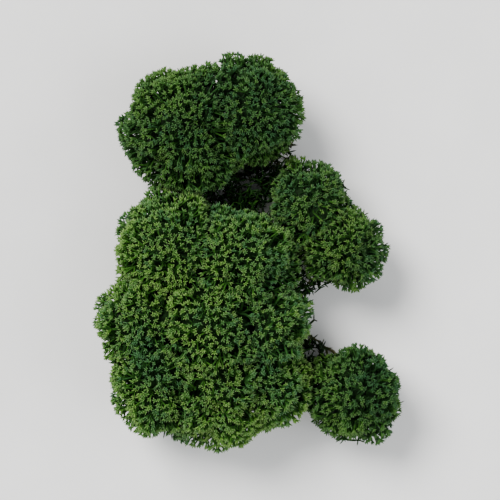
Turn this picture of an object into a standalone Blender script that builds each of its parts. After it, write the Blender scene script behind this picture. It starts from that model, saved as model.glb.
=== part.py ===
"""A clump of reindeer lichen, lying on its underside with the crowns up. Metres, +Z up.

Rounded heads of forked twigs are packed side by side. Each head is one plant: a core, the twigs that stand
out of it on all open sides, the old bare twigs that hang from its edge, and the stalks that carry it down to
the surface. X is the clump's width and Y its length. The origin is under the middle of the clump, on the
surface that it lies on.
"""

import math
import random

import bmesh
import bpy
from mathutils import Vector, noise

MM = 0.001

# Each head: name, x, y, height of its top, radius of its crown, shade of green. Lengths are in millimetres.
HEADS = (
    ("head_upper_left", -12.2, 23.2, 25.3, 13.2, "deep"),
    ("head_upper_right", -0.5, 26.8, 24.4, 11.3, "deep"),
    ("head_right_small", 11.4, 9.0, 20.9, 8.6, "mid"),
    ("head_right", 18.4, 0.2, 20.4, 8.7, "mid"),
    ("head_corner", 20.4, -28.2, 20.4, 10.2, "deep"),
    ("head_left", -14.4, -0.2, 26.1, 12.0, "yellow"),
    ("head_middle_right", -2.6, -2.6, 26.6, 11.9, "yellow"),
    ("head_side_left", -18.6, -13.2, 25.0, 11.2, "yellow"),
    ("head_centre", -7.6, -14.0, 27.8, 13.0, "yellow"),
    ("head_side_right", 2.2, -14.2, 25.0, 10.0, "yellow"),
    ("head_lower_left", -16.6, -25.4, 24.4, 11.6, "yellow"),
    ("head_lower_middle", -5.8, -26.8, 25.7, 11.8, "yellow"),
    ("head_lower_right", 2.4, -25.8, 22.9, 10.0, "yellow"),
)
GREENS = {"yellow": (0.16, 0.27, 0.055), "mid": (0.105, 0.205, 0.048), "deep": (0.075, 0.16, 0.045)}
ROUGHNESS = 0.9

GAP = 0.3 * MM  # between heads that touch
ROUNDING = 1e-7

TWIG_AREA = 20.0 * MM**2  # of the crown's surface, for each forked twig
TWIG_DEPTH = 4.4 * MM  # how far the twigs stand out of the core
TWIG_RADIUS = 0.55 * MM
FORK_DEPTH = (2.1 * MM, 2.5 * MM)  # from the tips in to the fork
FORK_LENGTH = 0.8 * MM
FORK_TAPER = 0.8
CORNER_REACH = (0.7, 0.84)  # how far a fork's prongs open, as a share of the way to its face's corners
EDGE_REACH = (0.7, 0.86)  # the same for the prongs that open towards the middles of its edges
TIP_REACH = (0.955, 1.0)  # share of the way out to the crown's surface
LEAST_PRONG = 0.6 * MM
ROOM_SHARE = 0.65  # of the way to a face's edge or corner that a twig's foot may take
LOWEST_TWIG = math.radians(-36)
LOWEST_RIB = math.radians(-54)
BURIED_WITHIN = 0.97  # share of a neighbour's radius
BURIED_DEPTH = 0.35 * MM  # from the core to the wall where a neighbour hides it

LOBE_SIZE = 9.0 * MM
LOBE_SWELL = 0.16  # share of the radius
UNDERSIDE_FROM = math.radians(-12)
UNDERSIDE_TO = math.radians(-70)
UNDERSIDE_TUCK = 0.36  # share of the radius that the crown loses underneath
UNDERSIDE_BARE = 0.8  # share of the twigs' depth that the core fills underneath
LEAST_CORE = 0.35  # share of the radius

STALKS = 5
STALK_RADIUS = 0.55 * MM
STALK_SWAY = (0.16 * MM, 0.8 * MM)
STALK_KNEES = (0.35, 0.7)  # shares of the way down
FOOT_RADIUS = 0.9 * MM
FOOT_SPREAD = 3.0 * MM
FOOT_HEIGHT = 1.2 * MM
FOOT_LEAN = 0.88  # the feet stand closer together than the crowns
RIB_RADIUS = 0.6 * MM
RIB_TAPER = 0.85
RIB_REACH = (0.96, 1.04)  # share of the crown's reach
RIB_DROOP = (0.2, 0.4)  # share of the way down to the lowest corner of its face
HANGING = 0.6  # share of the ribs that hang down to the surface instead
HANGING_REACH = (0.6, 0.85)  # share of the radius
HANGING_HEIGHT = (0.6 * MM, 1.8 * MM)
HANGING_BOW = 0.9 * MM

SEED = 29


class Head:
    """One plant: where its crown is, and the upright walls that it shares with its neighbours."""

    def __init__(self, index, name, x, y, top, radius, green):
        self.name = name
        self.radius = radius * MM
        self.centre = Vector((x * MM, y * MM, (top - radius) * MM))
        self.green = green
        self.random = random.Random(SEED + index)
        self.walls = []

    def meet(self, other):
        """Adds the wall halfway to another head where the two crowns press together."""
        across = (other.centre - self.centre).to_2d()
        distance = across.length
        if distance > (self.radius + other.radius) * (1 + LOBE_SWELL / 2):
            return
        outward = Vector((across.x, across.y, 0)) / distance
        share = (distance**2 + self.radius**2 - other.radius**2) / (2 * distance)
        self.walls.append((outward, share - GAP / 2, other))

    def room(self, point):
        """How far inside its own space a point is. It is negative for a point past a wall."""
        offset = point - self.centre
        return min((limit - offset.dot(outward) for outward, limit, _ in self.walls), default=self.radius)

    def confine(self, point, margin):
        """Moves a point sideways until it is that far inside every wall."""
        moved = point.copy()
        for _ in range(3):
            for outward, limit, _ in self.walls:
                excess = (moved - self.centre).dot(outward) - (limit - margin)
                if excess > 0:
                    moved -= outward * excess
        return moved

    def open_reach(self, direction):
        """Distance from the centre to the crown's tips, as if the head stood alone."""
        swell = noise.noise((self.centre + direction * self.radius) / LOBE_SIZE)
        return self.radius * (1 + LOBE_SWELL * swell) * (1 - UNDERSIDE_TUCK * underside(direction))

    def wall_reach(self, direction):
        """Distance from the centre to the nearest wall along a direction."""
        facing = [(direction.dot(outward), limit) for outward, limit, _ in self.walls]
        return min((limit / share for share, limit in facing if share > 1e-6), default=math.inf)

    def reach(self, direction):
        return min(self.open_reach(direction), self.wall_reach(direction))

    def buried(self, direction):
        """True where the crown's surface lies inside a neighbouring crown."""
        if self.open_reach(direction) <= self.wall_reach(direction):
            return False
        point = self.centre + direction * self.wall_reach(direction)
        return any((point - other.centre).length < other.radius * BURIED_WITHIN for _, _, other in self.walls)

    def core_reach(self, direction):
        depth = TWIG_DEPTH * (1 - UNDERSIDE_BARE * underside(direction))
        if self.buried(direction):
            return min(self.open_reach(direction) - depth, self.wall_reach(direction) - BURIED_DEPTH)
        return max(self.reach(direction) - depth, self.radius * LEAST_CORE)


def underside(direction):
    """From 0 on the crown's top and sides to 1 underneath."""
    elevation = math.asin(max(-1.0, min(1.0, direction.z)))
    share = (UNDERSIDE_FROM - elevation) / (UNDERSIDE_FROM - UNDERSIDE_TO)
    share = max(0.0, min(1.0, share))
    return share * share * (3 - 2 * share)


def clear_scene():
    for old in list(bpy.data.objects):
        bpy.data.objects.remove(old, do_unlink=True)


def make_material(name, colour):
    material = bpy.data.materials.new(name)
    material.use_nodes = True
    shader = material.node_tree.nodes["Principled BSDF"]
    shader.inputs["Base Color"].default_value = (*colour, 1.0)
    shader.inputs["Roughness"].default_value = ROUGHNESS
    shader.inputs["Metallic"].default_value = 0.0
    return material


def even_directions(count):
    """Directions spread evenly over a whole sphere."""
    golden = math.pi * (3 - math.sqrt(5))
    directions = []
    for index in range(count):
        height = 1 - (2 * index + 1) / count
        flat = math.sqrt(1 - height * height)
        directions.append(Vector((flat * math.cos(index * golden), flat * math.sin(index * golden), height)))
    return directions


def crown_core(head):
    """The lumpy heart of a head, with one triangle for each twig that can grow from it."""
    shape = bmesh.new()
    faces = 4 * math.pi * head.radius**2 / TWIG_AREA
    for direction in even_directions(int(faces / 2) + 2):
        shape.verts.new(direction)
    bmesh.ops.convex_hull(shape, input=shape.verts)
    for vertex in shape.verts:
        direction = vertex.co.normalized()
        vertex.co = head.centre + direction * head.core_reach(direction)
    shape.normal_update()
    return shape


def middle_of(points):
    return sum(points, Vector()) / len(points)


def stands_out(base, inside, tip):
    """True if a tip lies well outside a triangle, on the far side from a point within."""
    normal = (base[1] - base[0]).cross(base[2] - base[0]).normalized()
    if normal.dot(inside - base[0]) > 0:
        normal.negate()
    return normal.dot(tip - base[0]) > LEAST_PRONG


class Grower:
    """Grows closed shapes out of the triangles of a head's core."""

    def __init__(self, head, shape):
        self.head = head
        self.shape = shape

    def aim(self, face):
        return (face.calc_center_median() - self.head.centre).normalized()

    def socket(self, face, radius):
        """A small triangle inside a face, where a twig or a stalk starts."""
        middle = face.calc_center_median()
        arms = [v.co - middle for v in face.verts]
        return [middle + arm.normalized() * min(radius, arm.length * ROOM_SHARE) for arm in arms]

    def open_face(self, face, points):
        """Replaces a face by the band round a socket, and gives the socket's corners."""
        corners = list(face.verts)
        self.shape.faces.remove(face)
        inner = [self.shape.verts.new(point) for point in points]
        self.band(corners, inner)
        return inner

    def band(self, low, high):
        """Triangles between two rings of three whose corners lie over each other."""
        for step in range(3):
            following = (step + 1) % 3
            self.shape.faces.new((low[step], low[following], high[following]))
            self.shape.faces.new((low[step], high[following], high[step]))

    def turned_band(self, low, high):
        """Triangles between two rings of three, where each high corner lies past the one below it."""
        for step in range(3):
            following = (step + 1) % 3
            self.shape.faces.new((low[step], low[following], high[step]))
            self.shape.faces.new((low[following], high[following], high[step]))

    def sleeve(self, ring, rings):
        """Bands from one ring through all the next ones. Gives the last ring's corners."""
        for points in rings:
            following = [self.shape.verts.new(point) for point in points]
            self.band(ring, following)
            ring = following
        return ring

    def spike(self, base, tip):
        point = self.shape.verts.new(tip)
        for step in range(3):
            self.shape.faces.new((base[step], base[(step + 1) % 3], point))

    def rings_along(self, start, route):
        """Rings of three that follow a route of centres and radii, each turned as little as it can be."""
        rings = [start]
        before = middle_of(start)
        offsets = [point - before for point in start]
        for index, (centre, radius) in enumerate(route):
            after = route[index + 1][0] if index + 1 < len(route) else centre
            axis = (after - before).normalized()
            offsets = [(offset - axis * offset.dot(axis)).normalized() for offset in offsets]
            rings.append([centre + offset * radius for offset in offsets])
            before = centre
        return rings[1:]

    def forked_twig(self, face):
        """A stem whose end forks in seven: three tips to its face's corners, three between, one straight on.

        It keeps to the cone over its face, so it crosses no other twig. False if it has no room.
        """
        head = self.head
        chance = head.random
        direction = self.aim(face)
        corners = [(v.co - head.centre).normalized() for v in face.verts]
        between = [(corners[step] + corners[(step + 1) % 3]).normalized() for step in range(3)]
        distance = head.reach(direction) - chance.uniform(*FORK_DEPTH)
        radius = min(TWIG_RADIUS, ROOM_SHARE * distance * min(direction.angle(aim) for aim in between))
        fork = head.confine(head.centre + direction * distance, radius)
        socket = self.socket(face, TWIG_RADIUS * 1.15)
        if (fork - middle_of(socket)).dot(direction) < LEAST_PRONG:
            return False
        low = [fork + flat(aim, direction) * radius for aim in between]
        above = fork + direction * FORK_LENGTH
        high = [above + flat(aim, direction) * radius * FORK_TAPER for aim in corners]
        if min(head.room(point) for point in (*socket, *low, *high)) < -ROUNDING:
            return False
        inner = self.open_face(face, socket)
        low_ring = [self.shape.verts.new(point) for point in low]
        high_ring = [self.shape.verts.new(point) for point in high]
        self.turned_band(inner, low_ring)
        for base, aim in self.prongs(direction, corners, between, low_ring, high_ring):
            tip = head.centre + aim * head.reach(aim) * chance.uniform(*TIP_REACH)
            if stands_out([corner.co for corner in base], fork, tip):
                self.spike(base, tip)
            else:
                self.shape.faces.new(base)
        return True

    def prongs(self, direction, corners, between, low, high):
        """The facets of a fork, each with the way that its prong points."""
        chance = self.head.random
        for step in range(3):
            wide = direction.lerp(corners[step], chance.uniform(*CORNER_REACH))
            yield (low[step - 1], low[step], high[step]), wide.normalized()
            near = direction.lerp(between[step], chance.uniform(*EDGE_REACH))
            yield (low[step], high[(step + 1) % 3], high[step]), near.normalized()
        yield tuple(high), direction

    def needle(self, face, tip, bend=None, shortest=LEAST_PRONG):
        """A bare twig that ends in one point, by way of a bend if one is given. False if it has no room."""
        socket = self.socket(face, RIB_RADIUS)
        route = [(bend, RIB_RADIUS * RIB_TAPER)] if bend else []
        rings = self.rings_along(socket, [*route, (tip, RIB_RADIUS)])[:-1]
        points = [*socket, tip, *(point for ring in rings for point in ring)]
        if min(self.head.room(point) for point in points) < -ROUNDING:
            return False
        if min(point.z for point in points) < GAP:
            return False
        if (tip - middle_of(socket)).length < shortest:
            return False
        self.spike(self.sleeve(self.open_face(face, socket), rings), tip)
        return True

    def rib(self, face):
        """A bare branch under the crown, which droops before it turns out to the rim."""
        head = self.head
        direction = self.aim(face)
        start = face.calc_center_median()
        lowest = min(((v.co - head.centre).normalized() for v in face.verts), key=lambda aim: aim.z)
        droop = direction.lerp(lowest, head.random.uniform(*RIB_DROOP)).normalized()
        tip = head.centre + direction * head.reach(direction) * head.random.uniform(*RIB_REACH)
        bend = head.centre + droop * (start.lerp(tip, 0.5) - head.centre).length
        return self.needle(face, tip, bend)

    def hanging_twig(self, face):
        """A bare old branch that bows out and down from the crown's edge, to just above the surface."""
        head = self.head
        start = face.calc_center_median()
        around = Vector((start.x - head.centre.x, start.y - head.centre.y, 0)).normalized()
        tip = around * head.radius * head.random.uniform(*HANGING_REACH)
        tip += Vector((head.centre.x, head.centre.y, head.random.uniform(*HANGING_HEIGHT)))
        return self.needle(face, tip, start.lerp(tip, 0.5) + around * HANGING_BOW)

    def tube(self, face, route, radius):
        """A stalk along a route of centres and radii, closed by a flat end."""
        socket = self.socket(face, radius)
        rings = self.rings_along(socket, route)
        self.shape.faces.new(self.sleeve(self.open_face(face, socket), rings))

    def grow(self, face):
        """What stands on a face: a forked twig on the crown's top and sides, an old bare one underneath."""
        head = self.head
        direction = self.aim(face)
        if head.buried(direction) or direction.z < math.sin(LOWEST_RIB):
            return
        if direction.z > math.sin(LOWEST_TWIG):
            if not self.forked_twig(face):
                self.needle(face, head.centre + direction * head.reach(direction))
        elif head.random.random() > HANGING or not self.hanging_twig(face):
            self.rib(face)


def flat(aim, axis):
    """The sideways part of an aim, as a direction square to an axis."""
    return (aim - axis * aim.dot(axis)).normalized()


def bearing(direction):
    return math.atan2(direction.y, direction.x)


def grow_contacts(grower):
    """One short twig to each neighbour, which meets the neighbour's own at the wall between them."""
    head = grower.head
    for outward, limit, other in head.walls:
        level = (head.centre.z + other.centre.z) / 2
        meeting = Vector((head.centre.x, head.centre.y, level)) + outward * limit
        towards = (meeting - head.centre).normalized()
        face = max(triangles_of(grower), key=lambda face: grower.aim(face).dot(towards))
        grower.needle(face, meeting, shortest=BURIED_DEPTH / 2)


def triangles_of(grower):
    """The faces of the core that nothing has grown from yet."""
    return [face for face in grower.shape.faces if face.tag]


def grow_stalks(grower):
    """The bare stalks, from the lowest faces of the core down to flat feet on the surface."""
    head = grower.head
    place = Vector((head.centre.x * FOOT_LEAN, head.centre.y * FOOT_LEAN, head.centre.z))
    place = head.confine(place, FOOT_SPREAD + FOOT_RADIUS + GAP)
    lowest = sorted(triangles_of(grower), key=lambda face: grower.aim(face).z)[:STALKS]
    lowest.sort(key=lambda face: bearing(grower.aim(face)))
    turns = [bearing(grower.aim(face)) - index * math.tau / STALKS for index, face in enumerate(lowest)]
    turn = math.atan2(sum(map(math.sin, turns)), sum(map(math.cos, turns)))
    for index, face in enumerate(lowest):
        start = face.calc_center_median()
        angle = turn + index * math.tau / STALKS
        around = Vector((math.cos(angle), math.sin(angle), 0))
        end = Vector((place.x, place.y, 0)) + around * FOOT_SPREAD
        ankle = end + Vector((0, 0, FOOT_HEIGHT))
        route = []
        for share in STALK_KNEES:
            sway = around * head.random.uniform(*STALK_SWAY)
            knee = head.confine(start.lerp(ankle, share) + sway, STALK_RADIUS + GAP)
            route.append((knee, STALK_RADIUS))
        route += [(ankle, STALK_RADIUS * 1.05), (end, FOOT_RADIUS)]
        grower.tube(face, route, STALK_RADIUS)


def build_head(head):
    """One head as one closed body: its core and everything that grows from it."""
    shape = crown_core(head)
    for face in shape.faces:
        face.tag = True
    grower = Grower(head, shape)
    grow_stalks(grower)
    grow_contacts(grower)
    for face in triangles_of(grower):
        grower.grow(face)
    bmesh.ops.recalc_face_normals(shape, faces=shape.faces)
    mesh = bpy.data.meshes.new(head.name)
    shape.to_mesh(mesh)
    shape.free()
    mesh.materials.append(make_material(head.name, GREENS[head.green]))
    bpy.context.scene.collection.objects.link(bpy.data.objects.new(head.name, mesh))


def main():
    clear_scene()
    heads = [Head(index, *row) for index, row in enumerate(HEADS)]
    for head in heads:
        for other in heads:
            if other is not head:
                head.meet(other)
    for head in heads:
        build_head(head)


main()
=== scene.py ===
"""The look of a clump of dyed reindeer lichen: each head is a tree of fine branches within its solid's form.

Each head's twig ends are spread over the same lumpy crown as its solid. Branches join them, level by level,
down to the bare stalks and their feet. Lengths are in metres.
"""
import math
from collections import namedtuple

import bmesh
import bpy
import numpy as np
from mathutils import Matrix, Vector, noise

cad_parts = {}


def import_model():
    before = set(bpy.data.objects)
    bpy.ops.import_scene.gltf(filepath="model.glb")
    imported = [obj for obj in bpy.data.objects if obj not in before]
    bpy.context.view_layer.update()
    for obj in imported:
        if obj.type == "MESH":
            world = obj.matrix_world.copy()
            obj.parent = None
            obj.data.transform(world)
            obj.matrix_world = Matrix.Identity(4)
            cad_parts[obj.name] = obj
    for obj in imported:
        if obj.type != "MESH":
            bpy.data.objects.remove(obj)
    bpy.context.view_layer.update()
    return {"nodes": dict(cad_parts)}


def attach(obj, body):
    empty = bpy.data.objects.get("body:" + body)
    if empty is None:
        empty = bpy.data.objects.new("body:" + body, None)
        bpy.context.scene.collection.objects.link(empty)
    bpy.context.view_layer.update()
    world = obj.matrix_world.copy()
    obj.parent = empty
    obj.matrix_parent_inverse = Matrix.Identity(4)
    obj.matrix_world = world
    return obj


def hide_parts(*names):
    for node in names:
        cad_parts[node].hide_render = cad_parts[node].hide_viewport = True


MM = 0.001

# Each head: name, x, y, height of its top, radius of its crown, shade of green, whose darker steps are partly
# painted shade. Lengths are in millimetres.
HEADS = (
    ("head_upper_left", -12.2, 23.2, 25.3, 13.2, "deep"),
    ("head_upper_right", -0.5, 26.8, 24.4, 11.3, "deep"),
    ("head_right_small", 11.4, 9.0, 20.9, 8.6, "mid"),
    ("head_right", 18.4, 0.2, 20.4, 8.7, "mid"),
    ("head_corner", 20.4, -28.2, 20.4, 10.2, "deep"),
    ("head_left", -14.4, -0.2, 26.1, 12.0, "yellow"),
    ("head_middle_right", -2.6, -2.6, 26.6, 11.9, "yellow"),
    ("head_side_left", -18.6, -13.2, 25.0, 11.2, "yellow"),
    ("head_centre", -7.6, -14.0, 27.8, 13.0, "yellow"),
    ("head_side_right", 2.2, -14.2, 25.0, 10.0, "yellow"),
    ("head_lower_left", -16.6, -25.4, 24.4, 11.6, "yellow"),
    ("head_lower_middle", -5.8, -26.8, 25.7, 11.8, "yellow"),
    ("head_lower_right", 2.4, -25.8, 22.9, 10.0, "yellow"),
)
# The mid and deep greens are partly the crowns' own colour and partly painted shade
SLOTS = {"yellow": "lichen_yellow_green", "mid": "lichen_green", "deep": "lichen_deep_green"}

# The crown's form, as the solids have it
LOBE_SIZE = 9.0 * MM
LOBE_SWELL = 0.16
UNDERSIDE_FROM = math.radians(-12)
UNDERSIDE_TO = math.radians(-70)
UNDERSIDE_TUCK = 0.36
EVEN_ROOM = 0.87  # of the spacing squared, the room that each point of an even spread has
JITTER = 0.3  # how far points stray from that spread, as a share of their spacing

# Small lobes, each the dome of one main branch
DOME_SPACING = 6.2 * MM
DOME_RADIUS = DOME_SPACING * 0.52
DOME_DROP = 1.35 * MM  # from a dome's top to its edge
DOME_LOWEST = 1.9  # times that drop, past its edge
DOME_UNEVEN = 0.45 * MM
DOME_LIFT = (-DOME_UNEVEN, DOME_UNEVEN * 0.6)
DOME_JITTER = 0.2
PIT_SPACING = 7.5 * MM
PIT_RADIUS = (0.8 * MM, 1.8 * MM)
PIT_DEPTH = 2.6 * MM
PIT_RIM = 0.6  # pits get shallower below this height, as a share of the crown's radius over its middle
PIT_BARE = 0.55  # no tips stand where a pit is deeper than this share of its depth
PIT_JITTER = 0.5
TANGLE = 0.3 * MM  # how far twigs reach past the wall between two heads
WANDER = 1.2 * MM  # how far that wall strays from a plane
WANDER_SIZE = 4.5 * MM
WANDER_SLANT = 0.3  # the least share of a direction that points at the wall, for that stray
WALL_FARTHEST = 50 * MM
NO_WALL = 1000 * MM
HIDDEN = 2.0 * MM  # under a neighbour's crown, where no twig shows
MERGE = 0.8 * MM  # how much higher the tips stand at a wall, so that two crowns run into one
MERGE_WIDTH = 3.0 * MM

# A star of prongs: their least and greatest number, their length and radius, how much further their points
# reach, and the least and greatest angle in degrees by which they open from the way that the twig points
Star = namedtuple("Star", "least most length radius tip spread")
TIP_STAR = Star(5, 5, 0.52 * MM, 0.165 * MM, 0.34 * MM, (16, 52))
INNER_STAR = Star(3, 4, 0.85 * MM, 0.18 * MM, 0.4 * MM, (34, 66))
OLD_STAR = Star(2, 4, 1.0 * MM, 0.17 * MM, 0.45 * MM, (20, 80))
HANGING_STAR = Star(2, 3, 1.2 * MM, 0.17 * MM, 0.4 * MM, (10, 60))  # HANGING_TWIGS gives its other lengths
TWIG_TINTS = 0.012  # how much the tint differs round a twig, so that its triangles have room on the map
PRONG_POINTS = (0, 0, 0, 1, 1, 1, 2)  # whether a prong's points lie at its start, its end or its tip
PRONG_ROUND = (0.0, 0.012, -0.012, 0.0, 0.012, -0.012, 0.01)
PRONG_TURN = 0.22  # how unevenly a star's prongs stand, in radians
PRONG_SIZES = (0.8, 1.2)
PRONG_TAPER = 0.74
PRONG_AGES = 0.012  # how far single prongs stray along the map
PRONG_TINTS = 0.05

# Levels of branches, from the outermost in: their forks' spacing and depth under the tips, the radius of the
# branches that end in them, their place along the map, from 0 at the tips to 1 at the cut feet, and those
# branches' points and sides
Level = namedtuple("Level", "spacing depth radius age points sides")
# Deeper levels lie further along the map, where it darkens with painted shade
LEVELS = (
    Level(1.17 * MM, 0.85 * MM, 0.16 * MM, 0.17, 2, 3),
    Level(2.5 * MM, 2.4 * MM, 0.26 * MM, 0.34, 4, 4),
    Level(4.1 * MM, 4.3 * MM, 0.36 * MM, 0.47, 4, 4),
    Level(DOME_SPACING, 6.6 * MM, 0.5 * MM, 0.58, 6, 5),
)
LEVEL_EVEN = 0.18  # how much less each further level follows the domes and pits
LEVEL_JITTER = 0.07
DEPTH_SHARES = (0.85, 1.15)
WALL_ROOM = 0.5 * MM  # the most that a branch's end keeps from the wall, besides a share of its depth
WALL_SHARE = 0.25
LEAN = 0.16  # how much twigs lean from straight out
TIP_AGES = (0.2, 0.07, 0.0)
FORK_TAPER = 0.86
FORK_SWELL = 1.3  # the most that a branch is thicker at its start than at its end
BRANCH_ENDS = (0.42, 0.36)  # share of a branch's span over which it holds its first and its last direction
BRANCH_UNEVEN = (0.88, 1.12)
CROOK = 0.12
CROOK_SHARE = 0.35
MAIN_RADII = (0.55 * MM, 0.48 * MM)
# Their ends lie in the painted shade of the dark heart
MAIN_AGES = (0.76, 0.62)
MAIN_RISE = 2.0 * MM

# Shorter twigs inside the crown, and behind them a dark hull, painted shade in place of the shaded tangle at
# its heart
INNER_FROM = 2  # the level that they branch from
INNER_SPACING = 2.1 * MM
INNER_DEPTH = (1.6 * MM, 3.0 * MM)
INNER_EVEN = 0.7
INNER_ROOM = 0.6 * MM
INNER_LEAN = 0.3
INNER_TINT = 0.8
INNER_RADII = (0.26 * MM, 0.18 * MM)
INNER_SHAPE = (3, 3)  # points and sides
# Further along the map than the outer twigs, darker with painted shade inside the crown
INNER_AGES = (0.54, 0.42)
INNER_TIP_AGES = (0.42, 0.33, 0.22)
CORE_SPACING = 1.5 * MM
CORE_CROWN = 13 * MM
CORE_DEPTH = 6.0 * MM  # under the tips of a crown of that radius, and in proportion in others
CORE_LOW = 0.5  # how much nearer to the tips it comes underneath
CORE_ROOM = 0.7 * MM
CORE_ROUGH = 0.5 * MM
CORE_ROUGH_SIZE = 9
# The hull's place along the map, in the painted shade of the dark heart
CORE_SHADE_PLACE = 0.55
CORE_SHADE_STRAY = 120  # along the map, for each metre of roughness
CORE_TINT_STRAY = 0.3
LEAST_CORE = 0.3
LEAST_CORE_SHARE = 0.8
TWIGS_THIN = math.radians(-30)  # below this round the underside, twigs get fewer
TWIGS_END = math.radians(-60)
BRANCHES_END = TWIGS_END - 0.25

# Under the crown
HUB_DROP = 0.45  # share of the radius, from the crown's middle down to where its branches part
HUB_SPREAD = 0.55  # share of the way out to the feet
STALK_RADIUS = 0.5 * MM
STALK_UNEVEN = (0.84, 1.16)
STALK_SWAY = 0.7 * MM
STALK_SWAY_SIZE = 2.6 * MM
STALK_SWAYS = (Vector((0, 0, 0)), Vector((31, 17, 5)))  # where in the noise its sway along x and y comes from
STALK_BOW = 0.4 * MM
STALK_POINTS = 10
STALK_SIDES = 7
STALK_AGES = (0.74, 0.985)
STALK_TINTS = (0.3, 0.7)
FOOT_RADIUS = 0.8 * MM
FOOT_HEIGHT = 1.2 * MM
FOOT_STEPS = (0.6 * MM, 0.15 * MM)  # heights at which the stalk widens into its foot
FOOT_RADII = (STALK_RADIUS * 1.15, FOOT_RADIUS * 0.86, FOOT_RADIUS)  # there and at its end
FOOT_LEVEL = 0.02 * MM  # the solid's flat feet lie under this height
THICKET = ((3.0 * MM, 0.3 * MM), (2.2 * MM, 0.22 * MM))  # spacing and radius of its thick and thin twigs
THICKET_FROM = 0.7 * MM
THICKET_REACH = (0.6, 0.86)  # share of the radius, at the surface and at the height of the crown's middle
THICKET_RISE = 0.55  # how steeply its twigs grow upwards
THICKET_JITTER = 0.45
THICKET_CLEAR = 0.8  # how far it keeps from the crown's middle, as a share of the crown's reach
THICKET_STRAY = 0.5 * MM
THICKET_SHAPE = (4, 3)  # points and sides
THICKET_CROOK = 0.2
THICKET_SIDEWAYS = (0.3, 1.0)
THICKET_LEAN = 0.3
THICKET_LIFT = (-0.3, 0.6)  # how much upwards its twigs leave a stalk
THICKET_AGES = (0.88, 0.42)  # at the surface, and how much younger under the crown, where they are also darker with painted shade
THICKET_AGING = 0.04  # how much older a twig is where it starts
THICKET_OLDEST = 0.9
THICKET_FRESH = 0.7  # of the height of the crown's middle, where its twigs are youngest and darkest with painted shade
THICKET_FRESHEN = 1.2  # how late on the way up they get younger
THICKET_PRONGS = ((0.0, 0.0), (0.05, 0.1), (0.07, 0.22))  # how much younger its prongs are, and more high up
THICKET_TINTS = (0.25, 0.75)
HOLLOW_REACH = 1.6  # the tangle also fills what lies this near to three crowns, as a share of their radii
HOLLOW_EDGE = 1.3  # and this near to one of them
HOLLOW_GAP = math.radians(215)  # the widest way out of it that these crowns leave
HOLLOW_TOP = 12.0 * MM
HANGING = 11
HANGING_REACH = (0.55, 0.8)
HANGING_HEIGHT = (0.4 * MM, 2.6 * MM)
HANGING_RADII = (0.36 * MM, 0.18 * MM)
HANGING_SHAPE = (8, 5)  # points and sides
HANGING_STARTS = (0.5, 0.8)  # outwards and down
HANGING_ENDS = (0.35, 1.0)
HANGING_AGES = (0.56, 0.86)
HANGING_ROOM = 0.3 * MM
HANGING_BOW = 0.6 * MM
HANGING_CROOK = 0.16
HANGING_FROM = 0.6  # of the height of the crown's middle, where they leave the crown
HANGING_TURN = 0.15
HANGING_LEAN = 0.3
HANGING_DROOP = (-0.5, 1.6)  # how much down their twigs aim at the start, and more so towards the end
HANGING_PRONGS = (0.0, 0.04, 0.1)  # how much younger their prongs are
# Place of each star along a hanging branch, length of its prongs and its place along the map
HANGING_TWIGS = (
    (0.3, 1.2 * MM, 0.6),
    (0.55, 1.3 * MM, 0.7),
    (0.8, 1.0 * MM, 0.78),
    (1.0, 0.7 * MM, 0.84),
)
LEAST_HEIGHT = 0.05 * MM  # of every twig over the surface that the clump lies on

# Patches and spots of yellower and bluer green: their sizes, and where in the noise they are taken from
PATCH_SIZE = 13.0 * MM
PATCHES = Vector((16.5, 14.0, 26.0))
SPOT_SIZE = 4.0 * MM
SPOTS = Vector((9.0, 4.0, 2.0))
PATCH_TINT = 0.5
SPOT_TINT = 0.3
STAR_TINT = 0.16
TINT_RANGE = (0.05, 0.95)

# Colours as numbers from 0 to 255 on screen, and where they lie along the map from the tips to the cut feet
STOPS = (0.0, 0.06, 0.18, 0.36, 0.52, 0.62, 0.72, 0.86, 1.0)
# From the pale tips inwards; the dark last two, at 0.36 and 0.52, are painted shade inside the crown
WARM = ((147, 168, 108), (94, 132, 55), (50, 94, 18), (26, 65, 7), (12, 42, 3))
COOL = ((88, 123, 91), (54, 95, 53), (29, 68, 26), (16, 49, 12), (7, 33, 5))
# Painted shade for the dark heart, then the old twigs' olive, the stalks and the tan of their cut feet
HEART_SHADE_AND_OLD = ((7, 22, 4), (36, 54, 20), (68, 70, 38), (98, 85, 58))
# Darker copies of one green: partly the crowns' own colour, partly painted shade where crowns lie in more
# shade
SHADES = {"yellow": (1.0, 1.0, 1.0), "mid": (0.83, 0.86, 0.84), "deep": (0.76, 0.82, 0.8)}
TINT_STOPS = (0.12, 0.88)
GRAIN_STRETCH = (28, 60, 1)
GRAIN_STOPS = (0.3, 0.7)
GRAIN_SHADES = (0.72, 1.25)
GRAIN_ROUGHNESS = (0.66, 0.92)
SKIN_SCALE = 4200
SKIN_HEIGHT = 0.06 * MM
SKIN_STRENGTH = 0.3
GLOSS = 0.14

# The stage: floor, sky, lights and camera
FLOOR_HALF = 3.0
FLOOR_GRAIN = 60
FLOOR_TONES = ((0.3, (0.79, 0.79, 0.785)), (0.7, (0.83, 0.83, 0.825)))
FLOOR_ROUGHNESS = 0.9
FLOOR_GLOSS = 0.1
SKY = ((0.0, (1.0, 1.0, 1.0)), (0.1, (1.0, 1.0, 1.0)), (0.35, (0.29, 0.295, 0.3)), (1.0, (0.29, 0.295, 0.3)))
SKY_STRENGTH = 1.58
LIGHTS = (
    ("key", (-0.28, 0.3, 0.5), 28, 5.4, (1.0, 0.985, 0.96)),
    ("fill", (0.45, -0.1, 0.4), 50, 1.7, (0.96, 0.98, 1.0)),
    ("front", (0.0, -0.5, 0.25), 50, 1.1, (1.0, 1.0, 1.0)),
)
LENS = 205
SENSOR = 36
CAMERA_BACK = (-0.018, 0.05, 1)
CAMERA_FROM = 0.54
CAMERA_HEIGHT = 0.014
CLIP = (0.01, 20)

SEED = 47


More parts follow.
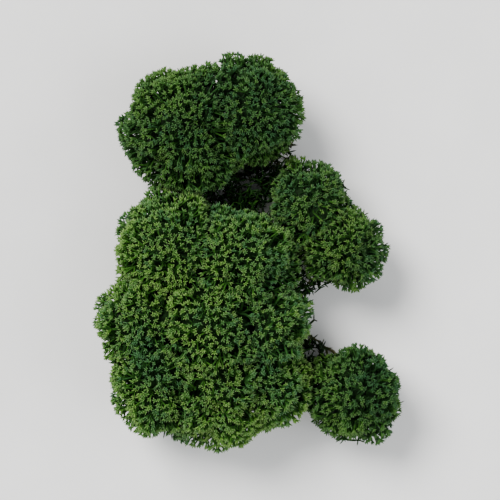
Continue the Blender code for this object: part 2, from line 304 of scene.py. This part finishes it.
def unit(vectors):
    return vectors / np.maximum(np.linalg.norm(vectors, axis=-1, keepdims=True), 1e-12)


def dots(a, b):
    return (a * b).sum(-1)


def square_to(vectors, chance):
    """A random direction square to each vector."""
    other = chance.normal(size=vectors.shape)
    return unit(other - vectors * dots(other, vectors)[..., None])


class Head:
    """One plant: its crown's place and form, and the walls that it shares with its neighbours."""

    def __init__(self, index, name, x, y, top, radius, green):
        self.index = index
        self.name = name
        self.radius = radius * MM
        self.centre = np.array((x, y, top - radius)) * MM
        self.green = green
        self.chance = np.random.default_rng(SEED + index)
        self.walls = []

    def meet(self, other):
        across = (other.centre - self.centre)[:2]
        distance = np.linalg.norm(across)
        if distance < (self.radius + other.radius) * (1 + LOBE_SWELL / 2):
            share = (distance**2 + self.radius**2 - other.radius**2) / (2 * distance)
            self.walls.append((np.array((*across / distance, 0.0)), share + TANGLE, other))

    def reach(self, directions):
        """How far the crown's tips reach along each direction, as if the head stood alone."""
        points = self.centre + directions * self.radius
        swell = np.array([noise.noise(Vector(point) / LOBE_SIZE) for point in points])
        elevation = np.arcsin(np.clip(directions[:, 2], -1, 1))
        under = np.clip((UNDERSIDE_FROM - elevation) / (UNDERSIDE_FROM - UNDERSIDE_TO), 0, 1)
        under = under * under * (3 - 2 * under)
        return self.radius * (1 + LOBE_SWELL * swell) * (1 - UNDERSIDE_TUCK * under)

    def surface(self, directions):
        """The crown's reach and its walls' along each direction, and whether twigs there can be seen."""
        reach = self.reach(directions)
        wall = np.full(len(directions), np.inf)
        for outward, limit, other in self.walls:
            share = directions @ outward
            flat = np.where(share > 1e-3, limit / np.maximum(share, 1e-3), np.inf)
            place = self.centre + directions * np.minimum(flat, WALL_FARTHEST)[:, None]
            stray = np.array([noise.noise(Vector(point) / WANDER_SIZE) for point in place])
            side = 1 if self.index < other.index else -1
            wall = np.minimum(wall, flat + side * stray * WANDER / np.maximum(share, WANDER_SLANT))
        reach = reach + MERGE * np.exp(-((np.maximum(wall - reach, 0) / MERGE_WIDTH) ** 2))
        place = self.centre + directions * np.minimum(wall, NO_WALL)[:, None]
        hidden = np.zeros(len(directions), bool)
        for _, _, other in self.walls:
            offset = place - other.centre
            distance = np.linalg.norm(offset, axis=1)
            hidden |= distance < other.reach(unit(offset)) - HIDDEN
        return reach, wall, ~((reach > wall) & hidden)

    def scatter(self, spacing, jitter=JITTER):
        """Directions spread evenly over the whole crown, that far apart on it."""
        count = int(4 * math.pi * self.radius**2 / (spacing**2 * EVEN_ROOM))
        index = np.arange(count)
        height = 1 - (2 * index + 1) / count
        flat = np.sqrt(1 - height**2)
        turn = index * math.pi * (3 - math.sqrt(5))
        even = np.stack([flat * np.cos(turn), flat * np.sin(turn), height], 1)
        spin = np.linalg.qr(self.chance.normal(size=(3, 3)))[0]
        even = even @ spin
        return unit(even + self.chance.normal(size=even.shape) * jitter * spacing / self.radius)


class Growth:
    """Triangles of one piece, with a map: its first axis runs from the tips in, its second is the tint."""

    def __init__(self, chance):
        self.chance = chance
        self.points = []
        self.maps = []
        self.faces = []
        self.count = 0

    def add(self, points, maps, faces):
        self.points.append(points.reshape(-1, 3))
        self.maps.append(maps.reshape(-1, 2))
        self.faces.append(faces.reshape(-1, 3) + self.count)
        self.count += len(self.points[-1])

    def rings(self, paths, radii, sides):
        """Rings of points round each path, and the directions along it."""
        along = unit(np.gradient(paths, axis=1))
        side = square_to(along[:, 0], self.chance)
        angles = (2 * math.pi * np.arange(sides) / sides)[None, :, None]
        rings = []
        for step in range(paths.shape[1]):
            side = unit(side - along[:, step] * dots(side, along[:, step])[:, None])
            other = np.cross(along[:, step], side)
            arm = side[:, None] * np.cos(angles) + other[:, None] * np.sin(angles)
            rings.append(paths[:, step, None] + arm * radii[:, step, None, None])
        return np.stack(rings, 1), along

    def tubes(self, paths, radii, sides, ages, tints, cap=0.7):
        """Tapering tubes along many paths at once, each closed by a low point at its outer end."""
        number, steps = paths.shape[:2]
        rings, along = self.rings(paths, radii, sides)
        end = paths[:, -1] + along[:, -1] * (radii[:, -1] * cap)[:, None]
        points = np.concatenate([rings.reshape(number, -1, 3), end[:, None]], 1)
        spread = TWIG_TINTS * np.cos(2 * math.pi * np.arange(sides) / sides)
        maps = np.empty((number, steps, sides, 2))
        maps[..., 0] = ages[:, :, None]
        maps[..., 1] = tints[:, None, None] + spread
        last = np.stack([ages[:, -1], tints + TWIG_TINTS / 2], 1)
        maps = np.concatenate([maps.reshape(number, -1, 2), last[:, None]], 1)
        self.add(points, maps, self.tube_faces(number, steps, sides))

    def tube_faces(self, number, steps, sides):
        """Triangles between each tube's rings, and round the one point after its last ring."""
        faces = []
        for step in range(steps - 1):
            for side in range(sides):
                a, b = step * sides + side, step * sides + (side + 1) % sides
                faces += [(a, b, b + sides), (a, b + sides, a + sides)]
        base, point = (steps - 1) * sides, steps * sides
        faces += [(base + side, base + (side + 1) % sides, point) for side in range(sides)]
        return np.array(faces)[None] + (np.arange(number) * (point + 1))[:, None, None]

    def spikes(self, starts, ends, radii, ages, tints, tip_length):
        """Short three-sided prongs that each end in one point."""
        number = len(starts)
        rings, along = self.rings(np.stack([starts, ends], 1), radii, 3)
        tips = ends + along[:, 1] * tip_length[:, None]
        points = np.concatenate([rings.reshape(number, 6, 3), tips[:, None]], 1)
        points[..., 2] = np.maximum(points[..., 2], LEAST_HEIGHT)
        maps = np.empty((number, 7, 2))
        maps[..., 0] = ages[:, PRONG_POINTS]
        maps[..., 1] = tints[:, None] + np.array(PRONG_ROUND)
        self.add(points, maps, self.tube_faces(number, 2, 3))

    def whorls(self, places, outward, star, ages, tints):
        """A star of prongs round each place, opening outwards."""
        counts = self.chance.integers(star.least, star.most + 1, len(places))
        owner = np.repeat(np.arange(len(places)), counts)
        turn = np.concatenate([np.arange(count) / count for count in counts]) * 2 * math.pi
        stray = self.chance.normal(0, PRONG_TURN, len(owner))
        turn += stray + self.chance.uniform(0, 2 * math.pi, len(places))[owner]
        side = square_to(outward, self.chance)[owner]
        out = outward[owner]
        other = np.cross(out, side)
        tilt = np.radians(self.chance.uniform(*star.spread, len(owner)))
        flat = side * np.cos(turn)[:, None] + other * np.sin(turn)[:, None]
        aim = out * np.cos(tilt)[:, None] + flat * np.sin(tilt)[:, None]
        size = self.chance.uniform(*PRONG_SIZES, len(owner))
        ends = places[owner] + aim * (star.length * size)[:, None]
        radii = np.stack([np.full(len(owner), star.radius), star.radius * PRONG_TAPER * size], 1)
        age = np.stack([np.broadcast_to(age, len(places))[owner] for age in ages], 1)
        age += self.chance.uniform(-PRONG_AGES, PRONG_AGES, (len(owner), 1))
        tint = tints[owner] + self.chance.normal(0, PRONG_TINTS, len(owner))
        ends[:, 2] = np.maximum(ends[:, 2], LEAST_HEIGHT + star.radius)
        self.spikes(places[owner], ends, radii, age, tint, star.tip * size)

    def branches(self, starts, start_aims, ends, end_aims, radii, shape, ages, tints, crook=CROOK):
        """Curved branches that leave and arrive along the given directions."""
        steps, sides = shape
        span = np.linalg.norm(ends - starts, axis=1)[:, None]
        first = starts + start_aims * span * BRANCH_ENDS[0]
        second = ends - end_aims * span * BRANCH_ENDS[1]
        share = np.linspace(0, 1, steps)[None, :, None]
        rest = 1 - share
        a, b, c, d = (p[:, None] for p in (starts, first, second, ends))
        paths = a * rest**3 + 3 * b * share * rest**2 + 3 * c * share**2 * rest + d * share**3
        wander = self.chance.normal(size=paths.shape) * crook * span[:, None]
        wander *= np.sin(np.pi * share)
        taper = radii[0] + (radii[1] - radii[0]) * share[..., 0]
        wide = taper * self.chance.uniform(*BRANCH_UNEVEN, paths.shape[:2])
        first_age, last_age = (np.broadcast_to(age, len(starts))[:, None] for age in ages)
        age = first_age + (last_age - first_age) * share[..., 0]
        paths = paths + wander * CROOK_SHARE
        paths[..., 2] = np.maximum(paths[..., 2], wide + LEAST_HEIGHT)
        self.tubes(paths, wide, sides, age, tints)

    def piece(self, name, material):
        points, maps, faces = (np.concatenate(part) for part in (self.points, self.maps, self.faces))
        mesh = bpy.data.meshes.new(name)
        mesh.vertices.add(len(points))
        mesh.vertices.foreach_set("co", points.astype(np.float32).ravel())
        mesh.loops.add(faces.size)
        mesh.loops.foreach_set("vertex_index", faces.astype(np.int32).ravel())
        mesh.polygons.add(len(faces))
        mesh.polygons.foreach_set("loop_start", np.arange(0, faces.size, 3, dtype=np.int32))
        mesh.polygons.foreach_set("use_smooth", np.ones(len(faces), bool))
        mesh.update(calc_edges=True)
        layer = mesh.uv_layers.new(name="OFBake")
        spots = np.clip(maps, 0.004, 0.996)[faces.ravel()]
        layer.uv.foreach_set("vector", spots.astype(np.float32).ravel())
        mesh.materials.append(material)
        made = bpy.data.objects.new(name, mesh)
        bpy.context.scene.collection.objects.link(made)
        return made


def tint_at(head, places):
    """Soft patches of yellower and bluer green, which run on past a head's edge, and each star's shade."""
    wide = np.array([noise.noise(Vector(place) / PATCH_SIZE + PATCHES) for place in places])
    fine = np.array([noise.noise(Vector(place) / SPOT_SIZE + SPOTS) for place in places])
    own = head.chance.normal(0, STAR_TINT, len(places))
    return np.clip(0.5 + PATCH_TINT * wide + SPOT_TINT * fine + own, *TINT_RANGE)


class Relief:
    """How far a crown's tips lie under its form: each main branch has its own dome, with pits between."""

    def __init__(self, head):
        chance = head.chance
        self.radius = head.radius
        self.domes = head.scatter(DOME_SPACING, DOME_JITTER)
        self.lift = chance.uniform(*DOME_LIFT, len(self.domes))
        self.pits = head.scatter(PIT_SPACING, PIT_JITTER)
        self.widths = chance.uniform(*PIT_RADIUS, len(self.pits))

    def nearest(self, directions, places):
        near = directions @ places.T
        first = near.argmax(1)
        return first, np.arccos(np.clip(near[np.arange(len(near)), first], -1, 1)) * self.radius

    def drop(self, directions):
        dome, distance = self.nearest(directions, self.domes)
        fall = DOME_DROP * np.minimum((distance / DOME_RADIUS) ** 2, DOME_LOWEST)
        return fall - self.lift[dome] + self.pit(directions)

    def pit(self, directions):
        pit, distance = self.nearest(directions, self.pits)
        on_top = np.clip(directions[:, 2] / PIT_RIM, 0, 1)
        return PIT_DEPTH * on_top * np.exp(-((distance / self.widths[pit]) ** 2))


def crown_forks(head, relief):
    """The forks of each level, as places and directions: twig ends first, the domes' main branches last."""
    chance = head.chance
    forks = []
    for index, level in enumerate(LEVELS):
        directions = relief.domes if index == len(LEVELS) - 1 else head.scatter(level.spacing)
        reach, wall, open_here = head.surface(directions)
        elevation = np.arcsin(directions[:, 2])
        if index == 0:
            thin = np.clip((elevation - TWIGS_END) / (TWIGS_THIN - TWIGS_END), 0, 1)
            open_here &= chance.uniform(0, 1, len(directions)) < thin
            open_here &= relief.pit(directions) < PIT_DEPTH * PIT_BARE
        else:
            open_here &= elevation > BRANCHES_END
        directions, reach, wall = directions[open_here], reach[open_here], wall[open_here]
        depths = level.depth * chance.uniform(*DEPTH_SHARES, len(directions))
        depths = depths + relief.drop(directions) * (1 - LEVEL_EVEN * index)
        near_wall = wall - chance.uniform(0, 1, len(directions)) * WALL_ROOM - level.depth * WALL_SHARE
        far = np.maximum(np.minimum(reach - depths, near_wall), head.radius * LEAST_CORE)
        places = head.centre + directions * far[:, None]
        places += chance.normal(size=places.shape) * level.spacing * LEVEL_JITTER
        forks.append((places, directions))
    return forks


def inner_tints(tints, owners, forks):
    """The tints of every level, each fork's as the mean of what grows out of it."""
    levels = [tints]
    for owner, (places, _) in zip(owners, forks[1:]):
        total = np.bincount(owner, levels[-1], len(places))
        count = np.bincount(owner, minlength=len(places))
        levels.append(np.where(count > 0, total / np.maximum(count, 1), 0.5))
    return levels


def grow_crown(head, growth, hubs):
    """The branches and twigs of one crown. Gives the places of its main branches' forks."""
    relief = Relief(head)
    forks = crown_forks(head, relief)
    tints = tint_at(head, forks[0][0])
    owners = [(outer[1] @ inner[1].T).argmax(1) for outer, inner in zip(forks, forks[1:])]
    levels = inner_tints(tints, owners, forks)
    lean = [unit(d + head.chance.normal(size=d.shape) * LEAN) for _, d in forks]
    for index, owner in enumerate(owners):
        outer, inner = LEVELS[index], LEVELS[index + 1]
        wider = min(inner.radius * FORK_TAPER, outer.radius * FORK_SWELL)
        growth.branches(
            forks[index + 1][0][owner], lean[index + 1][owner], forks[index][0], lean[index],
            (wider, outer.radius), (outer.points, outer.sides), (inner.age, outer.age), levels[index],
        )
    used = np.unique(owners[-1])
    ends = forks[-1][0][used]
    starts = hubs[np.linalg.norm(ends[:, None] - hubs[None], axis=2).argmin(1)]
    main_shape = (LEVELS[-1].points, LEVELS[-1].sides)
    growth.branches(
        starts, unit(ends - starts + (0, 0, MAIN_RISE)), ends, lean[-1][used],
        MAIN_RADII, main_shape, MAIN_AGES, levels[-1][used],
    )
    growth.whorls(forks[0][0], lean[0], TIP_STAR, TIP_AGES, tints)
    grow_inner(head, growth, forks, relief)
    return ends


def grow_inner(head, growth, forks, relief):
    """Shorter twigs between the branches, which close the view into the crown."""
    chance = head.chance
    directions = head.scatter(INNER_SPACING)
    reach, wall, open_here = head.surface(directions)
    open_here &= np.arcsin(directions[:, 2]) > TWIGS_END
    directions, reach, wall = directions[open_here], reach[open_here], wall[open_here]
    depth = chance.uniform(*INNER_DEPTH, len(directions)) + relief.drop(directions) * INNER_EVEN
    far = np.maximum(np.minimum(reach - depth, wall - INNER_ROOM), head.radius * LEAST_CORE)
    places = head.centre + directions * far[:, None]
    from_places, from_directions = forks[INNER_FROM]
    owner = (directions @ from_directions.T).argmax(1)
    tints = tint_at(head, places) * INNER_TINT
    lean = unit(directions + chance.normal(size=directions.shape) * INNER_LEAN)
    growth.branches(
        from_places[owner], from_directions[owner], places, lean, INNER_RADII, INNER_SHAPE, INNER_AGES, tints
    )
    growth.whorls(places, lean, INNER_STAR, INNER_TIP_AGES, tints)


def grow_shade_hull(head, growth):
    """A dark hull at a crown's heart: painted shade that stands in for the shaded tangle there."""
    directions = head.scatter(CORE_SPACING, 0.0)
    hull = bmesh.new()
    for direction in directions:
        hull.verts.new(Vector(direction))
    bmesh.ops.convex_hull(hull, input=hull.verts)
    hull.verts.ensure_lookup_table()
    hull.verts.index_update()
    faces = np.array([[v.index for v in face.verts] for face in hull.faces])
    directions = unit(np.array([v.co[:] for v in hull.verts]))
    hull.free()
    reach, wall, _ = head.surface(directions)
    rough = np.array([noise.noise(Vector(d) * CORE_ROUGH_SIZE) for d in directions]) * CORE_ROUGH
    low = np.clip(-directions[:, 2], 0, 1)
    deep = CORE_DEPTH * head.radius / CORE_CROWN
    far = np.minimum(reach - deep * (1 - CORE_LOW * low), wall - TANGLE - CORE_ROOM)
    far = np.maximum(far, head.radius * LEAST_CORE * LEAST_CORE_SHARE) + rough
    points = head.centre + directions * far[:, None]
    maps = np.stack([CORE_SHADE_PLACE + rough * CORE_SHADE_STRAY, 0.5 + CORE_TINT_STRAY * directions[:, 1]], 1)
    growth.add(points, maps, faces)


def sway_at(place):
    """How far a stalk strays sideways at one place. It is the same each run, as noise.noise_vector isn't."""
    place = Vector(place) / STALK_SWAY_SIZE
    return [noise.noise(place + shift) * STALK_SWAY for shift in STALK_SWAYS] + [0.0]


def grow_stalks(head, growth, feet):
    """The bare stalks down to their matted feet. Gives the stalks' upper ends, and the points along them."""
    chance = head.chance
    hubs = []
    paths = []
    for foot in feet:
        out = np.zeros(3)
        out[:2] = foot[:2] - head.centre[:2]
        hub = head.centre + out * HUB_SPREAD
        hub[2] -= head.radius * HUB_DROP
        ankle = foot + (0, 0, FOOT_HEIGHT)
        share = np.linspace(0, 1, STALK_POINTS)[:, None]
        path = hub * (1 - share) + ankle * share
        sway = np.array([sway_at(place) for place in path])
        path += (sway + unit(out) * STALK_BOW) * np.sin(np.pi * share)
        path = np.concatenate([path, [foot + (0, 0, step) for step in FOOT_STEPS], [foot]])
        wide = STALK_RADIUS * chance.uniform(*STALK_UNEVEN, len(path))
        wide[-3:] = FOOT_RADII
        age = np.linspace(*STALK_AGES, len(path))
        tint = np.array([chance.uniform(*STALK_TINTS)])
        growth.tubes(path[None], wide[None], STALK_SIDES, age[None], tint, cap=0.0)
        hubs.append(hub)
        paths.append(path[2:-2])
    return np.array(hubs), np.concatenate(paths)


def in_hollow(head, heads, places):
    """True for low places beside a crown that two more crowns close in, where this one is the nearest."""
    apart = np.array([(other.centre - places)[:, :2] for other in heads])
    sideways = np.linalg.norm(apart, axis=2) / np.array([other.radius for other in heads])[:, None]
    near = sideways < HOLLOW_REACH
    turns = np.arctan2(apart[..., 1], apart[..., 0])
    turns = np.sort(np.where(near, turns, turns[head.index]), axis=0)
    gap = np.diff(turns, axis=0, append=turns[:1] + 2 * math.pi).max(0)
    closed = (near.sum(0) >= 3) & (gap < HOLLOW_GAP) & (places[:, 2] < HOLLOW_TOP)
    return closed & (sideways[head.index] < HOLLOW_EDGE) & (sideways[head.index] <= sideways.min(0))


def thicket_places(head, heads, spacing):
    """Points spread through the space under a crown, that far apart."""
    chance = head.chance
    half = int(head.radius * HOLLOW_REACH / spacing) + 1
    across = np.arange(-half, half + 1) * spacing
    levels = np.arange(THICKET_FROM, head.centre[2], spacing)
    x, y, z = np.meshgrid(across, across, levels, indexing="ij")
    offsets = np.stack([x.ravel() + head.centre[0], y.ravel() + head.centre[1], z.ravel()], 1)
    offsets += chance.uniform(-THICKET_JITTER, THICKET_JITTER, offsets.shape) * spacing
    offsets[:, 2] = np.maximum(offsets[:, 2], THICKET_FROM)
    arms = offsets - head.centre
    share = np.clip(offsets[:, 2] / head.centre[2], 0, 1)
    most = head.radius * (THICKET_REACH[0] + (THICKET_REACH[1] - THICKET_REACH[0]) * share)
    distance = np.linalg.norm(arms, axis=1)
    inside = np.linalg.norm(arms[:, :2], axis=1) < most
    inside |= in_hollow(head, heads, offsets)
    inside &= distance > head.reach(unit(arms)) * THICKET_CLEAR
    for outward, limit, _ in head.walls:
        inside &= arms @ outward < limit
    return offsets[inside]


def grow_thicket(head, heads, growth, stalks):
    """The tangle of old twigs under the crown, which branches out from the stalks."""
    chance = head.chance
    from_places, from_radius = stalks, STALK_RADIUS
    for spacing, radius in THICKET:
        places = thicket_places(head, heads, spacing)
        apart = places[:, None] - from_places[None]
        sideways = np.linalg.norm(apart[..., :2], axis=2)
        cost = sideways + 2 * np.abs(apart[..., 2] - sideways * THICKET_RISE)
        starts = from_places[cost.argmin(1)]
        out = unit((places - starts) * (1, 1, 0) + chance.normal(size=places.shape) * THICKET_STRAY)
        up = np.array((0, 0, 1.0))
        spread = out * chance.uniform(*THICKET_SIDEWAYS, (len(places), 1))
        aims = unit(spread + up + chance.normal(size=places.shape) * THICKET_LEAN)
        low_aims = unit(out + up * chance.uniform(*THICKET_LIFT, (len(places), 1)))
        high = np.clip(places[:, 2] / (head.centre[2] * THICKET_FRESH), 0, 1)
        old = THICKET_AGES[0] - THICKET_AGES[1] * high**THICKET_FRESHEN
        tints = chance.uniform(*THICKET_TINTS, len(places))
        growth.branches(
            starts, low_aims, places, aims, (min(from_radius, radius * FORK_SWELL), radius), THICKET_SHAPE,
            (np.minimum(old + THICKET_AGING, THICKET_OLDEST), old), tints, crook=THICKET_CROOK,
        )
        ages = [old - less - more * high for less, more in THICKET_PRONGS]
        growth.whorls(places, aims, OLD_STAR, ages, tints)
        from_places, from_radius = np.concatenate([stalks, places]), radius


def grow_hanging(head, growth, rim):
    """Old bare branches that bow out and down from the crown's edge, to just above the surface."""
    chance = head.chance
    turn = chance.uniform(0, 2 * math.pi) + np.arange(HANGING) * 2 * math.pi / HANGING
    turn += chance.normal(0, HANGING_TURN, HANGING)
    out = np.stack([np.cos(turn), np.sin(turn), np.zeros(HANGING)], 1)
    ends = head.centre * (1, 1, 0) + out * (head.radius * chance.uniform(*HANGING_REACH, HANGING))[:, None]
    ends[:, 2] = chance.uniform(*HANGING_HEIGHT, HANGING)
    inside = np.ones(HANGING, bool)
    for outward, limit, _ in head.walls:
        inside &= (ends - head.centre) @ outward < limit - HANGING_ROOM
    out, ends = out[inside], ends[inside]
    if not len(ends):
        return
    above = ends + (0, 0, HANGING_FROM) * head.centre
    starts = rim[np.linalg.norm(above[:, None] - rim[None], axis=2).argmin(1)]
    down = np.array((0, 0, -1.0))
    tints = chance.uniform(*STALK_TINTS, len(ends))
    for share, length, age in HANGING_TWIGS:
        places = starts + (ends - starts) * share + out * (4 * share * (1 - share) * HANGING_BOW)
        droop = HANGING_DROOP[1] * share + HANGING_DROOP[0]
        aims = unit(out + down * droop + chance.normal(size=out.shape) * HANGING_LEAN)
        ages = [age - less for less in HANGING_PRONGS]
        growth.whorls(places, aims, HANGING_STAR._replace(length=length), ages, tints)
    start_aims, end_aims = (unit(out * wide + down * low) for wide, low in (HANGING_STARTS, HANGING_ENDS))
    growth.branches(
        starts, start_aims, ends, end_aims, HANGING_RADII, HANGING_SHAPE, HANGING_AGES, tints,
        crook=HANGING_CROOK,
    )


def feet_of(node):
    """The middles of a solid's flat feet, each of which is one face."""
    corners = node.data.vertices
    faces = [np.array([corners[index].co[:] for index in face.vertices]) for face in node.data.polygons]
    return [face.mean(0) * (1, 1, 0) for face in faces if face[:, 2].max() < FOOT_LEVEL]


def link(tree, source, target):
    tree.links.new(source, target)


def ramp_of(tree, stops, factor):
    ramp = tree.nodes.new("ShaderNodeValToRGB")
    ramp.color_ramp.interpolation = "LINEAR"
    elements = ramp.color_ramp.elements
    for index, (place, colour) in enumerate(stops):
        element = elements[index] if index < 2 else elements.new(place)
        element.position = place
        element.color = (*colour, 1)
    link(tree, factor, ramp.inputs["Fac"])
    return ramp.outputs["Color"]


def linear(*colour):
    """A colour as the shader wants it, from its 0 to 255 numbers on screen."""
    return tuple(((c / 255 + 0.055) / 1.055) ** 2.4 if c > 10 else c / 255 / 12.92 for c in colour)


def map_range(tree, factor, ends, values=(0.0, 1.0)):
    """The factor brought from between the two ends to between the two values."""
    node = tree.nodes.new("ShaderNodeMapRange")
    node.inputs["From Min"].default_value = ends[0]
    node.inputs["From Max"].default_value = ends[1]
    node.inputs["To Min"].default_value = values[0]
    node.inputs["To Max"].default_value = values[1]
    link(tree, factor, node.inputs["Value"])
    return node.outputs["Result"]


def noise_of(tree, vector, scale, detail):
    node = tree.nodes.new("ShaderNodeTexNoise")
    node.inputs["Scale"].default_value = scale
    node.inputs["Detail"].default_value = detail
    link(tree, vector, node.inputs["Vector"])
    return node.outputs["Fac"]


def lichen(name, yellow, blue):
    """Dyed lichen: pale at the tips, darker and duller down the branches, painted shade deep in the crown,
    brown at the stalks' feet.
    """
    material = bpy.data.materials.new(name)
    material.use_nodes = True
    tree = material.node_tree
    shader = tree.nodes["Principled BSDF"]
    where = tree.nodes.new("ShaderNodeUVMap")
    where.uv_map = "OFBake"
    axes = tree.nodes.new("ShaderNodeSeparateXYZ")
    link(tree, where.outputs["UV"], axes.inputs[0])
    warm = ramp_of(tree, [(p, linear(*c)) for p, c in zip(STOPS, yellow)], axes.outputs["X"])
    cool = ramp_of(tree, [(p, linear(*c)) for p, c in zip(STOPS, blue)], axes.outputs["X"])
    both = tree.nodes.new("ShaderNodeMix")
    both.data_type = "RGBA"
    link(tree, map_range(tree, axes.outputs["Y"], TINT_STOPS), both.inputs["Factor"])
    link(tree, cool, both.inputs["A"])
    link(tree, warm, both.inputs["B"])
    stretch = tree.nodes.new("ShaderNodeVectorMath")
    stretch.operation = "MULTIPLY"
    stretch.inputs[1].default_value = GRAIN_STRETCH
    link(tree, where.outputs["UV"], stretch.inputs[0])
    grain = noise_of(tree, stretch.outputs[0], 1.0, 3.0)
    shaded = tree.nodes.new("ShaderNodeVectorMath")
    shaded.operation = "SCALE"
    link(tree, both.outputs["Result"], shaded.inputs[0])
    link(tree, map_range(tree, grain, GRAIN_STOPS, GRAIN_SHADES), shaded.inputs["Scale"])
    link(tree, shaded.outputs[0], shader.inputs["Base Color"])
    link(tree, map_range(tree, grain, GRAIN_STOPS, GRAIN_ROUGHNESS), shader.inputs["Roughness"])
    around = tree.nodes.new("ShaderNodeTexCoord")
    bump = tree.nodes.new("ShaderNodeBump")
    bump.inputs["Strength"].default_value = SKIN_STRENGTH
    bump.inputs["Distance"].default_value = SKIN_HEIGHT
    link(tree, noise_of(tree, around.outputs["Object"], SKIN_SCALE, 2.0), bump.inputs["Height"])
    link(tree, bump.outputs["Normal"], shader.inputs["Normal"])
    shader.inputs["Specular IOR Level"].default_value = GLOSS
    return material


def make_materials():
    """From each crown's tips to the painted shade of its dark heart, then the old twigs, the stalks and their
    cut feet.
    """
    made = {}
    for green, share in SHADES.items():
        warm, cool = ([np.multiply(stop, share) for stop in stops] for stops in (WARM, COOL))
        made[green] = lichen(SLOTS[green], (*warm, *HEART_SHADE_AND_OLD), (*cool, *HEART_SHADE_AND_OLD))
    return made


def floor_material():
    material = bpy.data.materials.new("pale_floor")
    material.use_nodes = True
    tree = material.node_tree
    shader = tree.nodes["Principled BSDF"]
    around = tree.nodes.new("ShaderNodeTexCoord")
    tone = ramp_of(tree, FLOOR_TONES, noise_of(tree, around.outputs["Object"], FLOOR_GRAIN, 4.0))
    link(tree, tone, shader.inputs["Base Color"])
    shader.inputs["Roughness"].default_value = FLOOR_ROUGHNESS
    shader.inputs["Specular IOR Level"].default_value = FLOOR_GLOSS
    return material


def make_floor():
    mesh = bpy.data.meshes.new("floor")
    half = FLOOR_HALF
    corners = [(-half, -half, 0), (half, -half, 0), (half, half, 0), (-half, half, 0)]
    mesh.from_pydata(corners, [], [(0, 1, 2, 3)])
    mesh.materials.append(floor_material())
    floor = bpy.data.objects.new("floor", mesh)
    bpy.context.scene.collection.objects.link(floor)


def wide_light(name, towards, breadth, power, colour):
    """A distant light as broad as a window, so that the floor is as pale far off as it is close by."""
    data = bpy.data.lights.new(name, "SUN")
    data.angle = math.radians(breadth)
    data.energy = power
    data.color = colour
    lamp = bpy.data.objects.new(name, data)
    lamp.rotation_euler = Vector(towards).to_track_quat("Z", "Y").to_euler()
    bpy.context.scene.collection.objects.link(lamp)


def make_light():
    world = bpy.context.scene.world or bpy.data.worlds.new("world")
    bpy.context.scene.world = world
    world.use_nodes = True
    sky = world.node_tree.nodes["Background"]
    around = world.node_tree.nodes.new("ShaderNodeTexCoord")
    axes = world.node_tree.nodes.new("ShaderNodeSeparateXYZ")
    link(world.node_tree, around.outputs["Generated"], axes.inputs[0])
    tone = ramp_of(world.node_tree, SKY, axes.outputs["Z"])
    link(world.node_tree, tone, sky.inputs["Color"])
    sky.inputs["Strength"].default_value = SKY_STRENGTH
    for light in LIGHTS:
        wide_light(*light)


def make_camera():
    """Looks straight down on the crowns, from a little towards the clump's far end."""
    data = bpy.data.cameras.new("camera")
    data.lens = LENS
    data.sensor_width = SENSOR
    data.clip_start, data.clip_end = CLIP
    camera = bpy.data.objects.new("camera", data)
    back = Vector(CAMERA_BACK).normalized()
    up = Vector((0, 1, 0))
    up = (up - back * up.dot(back)).normalized()
    right = up.cross(back)
    place = Vector((0, 0, CAMERA_HEIGHT)) + back * CAMERA_FROM
    turn = Matrix((right, up, back)).transposed()
    camera.matrix_world = Matrix.Translation(place) @ turn.to_4x4()
    bpy.context.scene.collection.objects.link(camera)
    bpy.context.scene.camera = camera


def main():
    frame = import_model()
    materials = make_materials()
    heads = [Head(index, *row) for index, row in enumerate(HEADS)]
    for head in heads:
        for other in heads:
            if other is not head:
                head.meet(other)
    for head in heads:
        growth = Growth(head.chance)
        hubs, stalks = grow_stalks(head, growth, feet_of(frame["nodes"][head.name]))
        rim = grow_crown(head, growth, hubs)
        grow_shade_hull(head, growth)
        grow_thicket(head, heads, growth, stalks)
        grow_hanging(head, growth, rim)
        made = growth.piece(f"{head.name}_twigs", materials[head.green])
        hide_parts(head.name)
        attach(made, "root")
    make_floor()
    make_light()
    make_camera()


main()
